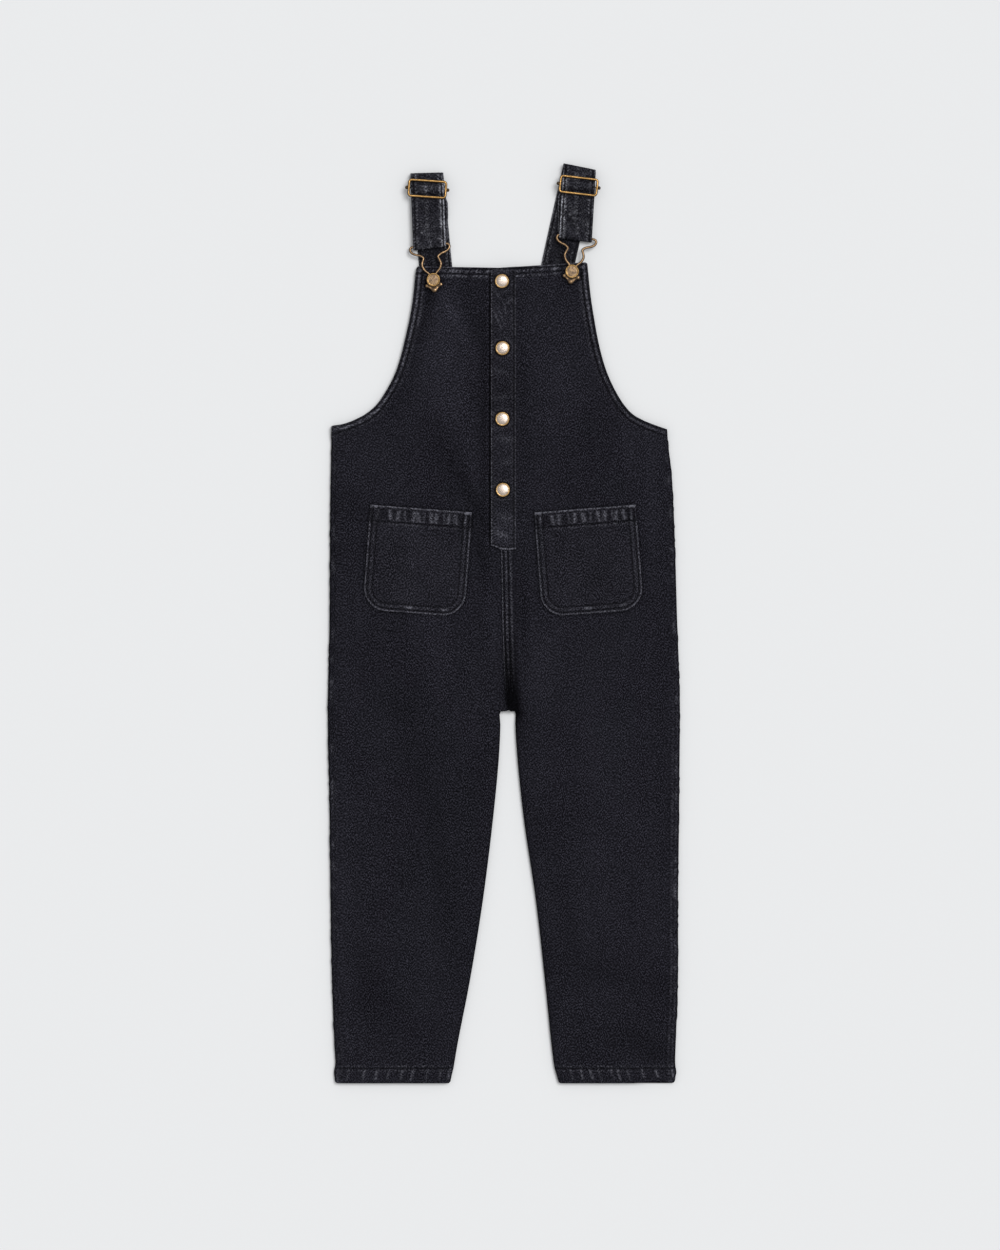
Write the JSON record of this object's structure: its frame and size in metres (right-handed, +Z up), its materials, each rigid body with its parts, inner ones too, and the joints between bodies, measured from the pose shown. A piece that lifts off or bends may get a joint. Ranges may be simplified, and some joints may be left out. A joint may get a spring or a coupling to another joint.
{
  "type": "child's denim dungarees",
  "caption": "Denim dungarees laid flat: bib and legs cut in one, buttoned front placket, patch pockets, and shoulder straps with wire sliders and clasps.",
  "frame": {"origin": "middle of the garment's footprint, on the surface that it lies on", "axes": "+Y from the leg hems towards the shoulder straps, +X towards the wearer's left, +Z up out of the front"},
  "size_m": [0.3344, 0.8742, 0.0125],
  "materials": {
    "denim": "washed black cotton twill with lighter worn edges",
    "brass": "antique brass wire, darkened in its corners",
    "button_cap": "worn bright button face with an antique rim"
  },
  "bodies": {
    "root": {"back_right": "denim", "back_left": "denim", "front_right": "denim", "front_left": "denim", "placket": "denim", "pocket_right": "denim", "pocket_left": "denim", "strap_right": "denim", "strap_left": "denim", "slider_right": "brass", "slider_left": "brass", "clasp_right": "brass", "clasp_left": "brass", "bib_button_right": "button_cap", "bib_button_left": "button_cap", "placket_button_1": "button_cap", "placket_button_2": "button_cap", "placket_button_3": "button_cap", "placket_button_4": "button_cap"}
  },
  "joints": []
}
